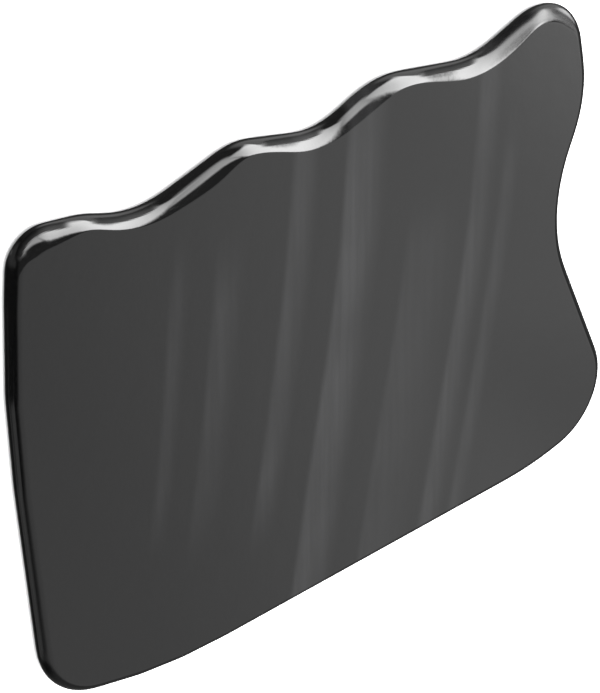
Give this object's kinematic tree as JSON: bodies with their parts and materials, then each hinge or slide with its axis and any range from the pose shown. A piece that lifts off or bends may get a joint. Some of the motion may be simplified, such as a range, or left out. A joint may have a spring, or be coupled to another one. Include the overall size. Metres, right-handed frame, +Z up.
{
  "type": "gua sha scraper",
  "caption": "Flat black stone gua sha scraper with a half-round rim, a wavy long edge, a straight long edge and a concave end with a horn.",
  "frame": {"origin": "centre of the bounding box on the back face, which rests on the floor", "axes": "+X along the straight edge towards the concave end, +Y across the slab towards the wavy edge, +Z up out of the front face"},
  "size_m": [0.1099, 0.0786, 0.0027],
  "materials": {
    "polished_stone": "polished to a gloss, near black with faint lighter grey bands"
  },
  "bodies": {
    "root": {"scraper_blade": "polished_stone"}
  },
  "joints": []
}
